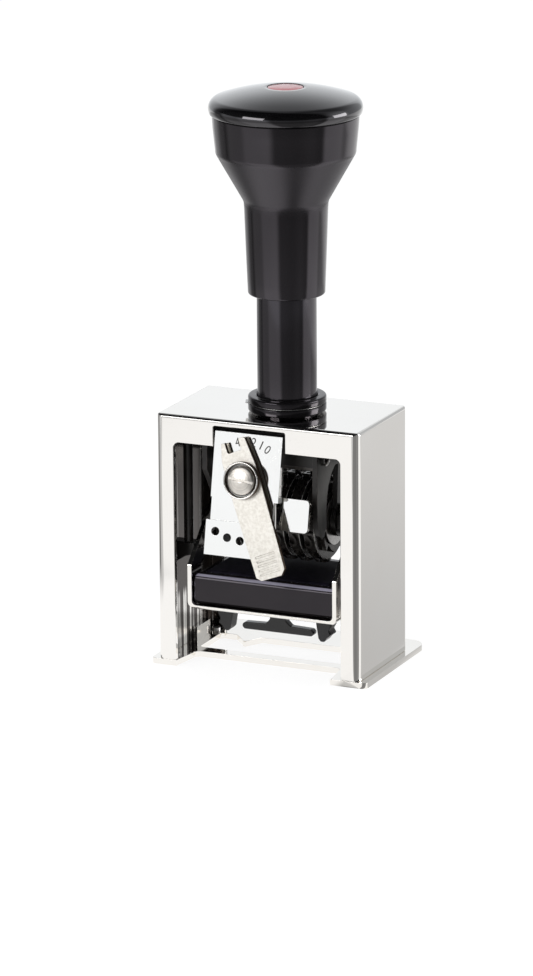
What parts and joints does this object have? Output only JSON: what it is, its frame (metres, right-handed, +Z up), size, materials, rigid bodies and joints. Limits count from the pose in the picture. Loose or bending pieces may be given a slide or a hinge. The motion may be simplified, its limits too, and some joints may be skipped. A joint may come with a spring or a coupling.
{
  "type": "numbering machine",
  "caption": "Hand numbering machine: knob and plunger drive a carriage of raised-figure number wheels in an open nickel case, with a swinging ink cassette and a repeat selector lever.",
  "frame": {"origin": "centre of the footprint, on the plane the base plate stands on", "axes": "+Z up along the plunger, -Y towards the user and the selector lever, +X to the user's right"},
  "size_m": [0.0576, 0.047, 0.1446],
  "materials": {
    "nickel_case": "polished nickel plate",
    "nickel_sheet": "bright nickel plate",
    "satin_nickel": "matt nickel plate",
    "steel": "turned",
    "black_metal": "blackened",
    "knob_black": "satin",
    "cap_black": "high gloss",
    "dot_red": "gloss",
    "cassette_black": "gloss",
    "ink_felt": "ink-soaked felt"
  },
  "bodies": {
    "case": {"case_shell": "nickel_case", "base_plate": "nickel_case", "base_rivets": "steel", "guide_tube": "knob_black", "tube_nut": "steel", "stop_ring_lower": "knob_black", "stop_ring_upper": "knob_black", "ring_clip": "steel", "guide_rods": "black_metal", "rod_brackets": "black_metal", "swing_pins": "steel"},
    "carriage": {"knob_body": "knob_black", "knob_cap": "cap_black", "cap_dot": "dot_red", "plunger_rod": "steel", "knob_screw": "steel", "return_spring": "steel", "carriage_block": "black_metal", "left_cheek": "black_metal", "right_cheek": "black_metal", "cheek_screws": "steel", "wheel_axle": "steel", "axle_nuts": "black_metal", "front_bracket": "nickel_sheet", "bracket_screws": "steel", "detent_comb": "steel", "index_plate": "nickel_sheet", "plate_spacers": "steel", "pivot_screw": "steel"},
    "selector": {"selector_lever": "satin_nickel", "pivot_cup": "nickel_sheet"},
    "wheel_1": {"number_wheel_1": "black_metal"},
    "wheel_2": {"number_wheel_2": "black_metal"},
    "wheel_3": {"number_wheel_3": "black_metal"},
    "wheel_4": {"number_wheel_4": "black_metal"},
    "wheel_5": {"number_wheel_5": "black_metal"},
    "wheel_6": {"number_wheel_6": "black_metal"},
    "rocker": {"rocker_yoke": "steel", "feed_shaft": "steel", "feed_pawls": "black_metal"},
    "pad_carrier": {"pad_stirrup": "nickel_sheet", "stirrup_rivets": "steel", "ink_cassette": "cassette_black", "cassette_grip": "knob_black", "ink_pad": "ink_felt"}
  },
  "joints": [
    {"name": "knob_press", "type": "slide", "parent": "case", "child": "carriage", "axis": [0, 0, -1], "range_m": [0, 0.0252], "stiffness_N_per_m": 500, "springref_m": -0.012, "deforming": ["return_spring"]},
    {"name": "pad_swing", "type": "hinge", "parent": "case", "child": "pad_carrier", "pos_m": [0, 0.012, 0.05], "axis": [1, 0, 0], "range_deg": [0, 120.5]},
    {"name": "feed_rock", "type": "hinge", "parent": "carriage", "child": "rocker", "pos_m": [0, 0.0036, 0.0368], "axis": [1, 0, 0], "range_deg": [-36.5, 0]},
    {"name": "selector_turn", "type": "hinge", "parent": "carriage", "child": "selector", "pos_m": [-0.002, -0.0171, 0.0501], "axis": [0, 0.9816, -0.1908], "range_deg": [0, 53.2]},
    {"name": "wheel_1_spin", "type": "hinge", "parent": "carriage", "child": "wheel_1", "pos_m": [0, 0.0036, 0.0368], "axis": [1, 0, 0], "continuous": true},
    {"name": "wheel_2_spin", "type": "hinge", "parent": "carriage", "child": "wheel_2", "pos_m": [0, 0.0036, 0.0368], "axis": [1, 0, 0], "continuous": true},
    {"name": "wheel_3_spin", "type": "hinge", "parent": "carriage", "child": "wheel_3", "pos_m": [0, 0.0036, 0.0368], "axis": [1, 0, 0], "continuous": true},
    {"name": "wheel_4_spin", "type": "hinge", "parent": "carriage", "child": "wheel_4", "pos_m": [0, 0.0036, 0.0368], "axis": [1, 0, 0], "continuous": true},
    {"name": "wheel_5_spin", "type": "hinge", "parent": "carriage", "child": "wheel_5", "pos_m": [0, 0.0036, 0.0368], "axis": [1, 0, 0], "continuous": true},
    {"name": "wheel_6_spin", "type": "hinge", "parent": "carriage", "child": "wheel_6", "pos_m": [0, 0.0036, 0.0368], "axis": [1, 0, 0], "continuous": true}
  ],
  "couplings": [
    {"joint": "pad_swing", "follows": "knob_press", "rad_per_m": 83.11},
    {"joint": "feed_rock", "follows": "knob_press", "rad_per_m": -24.93}
  ]
}
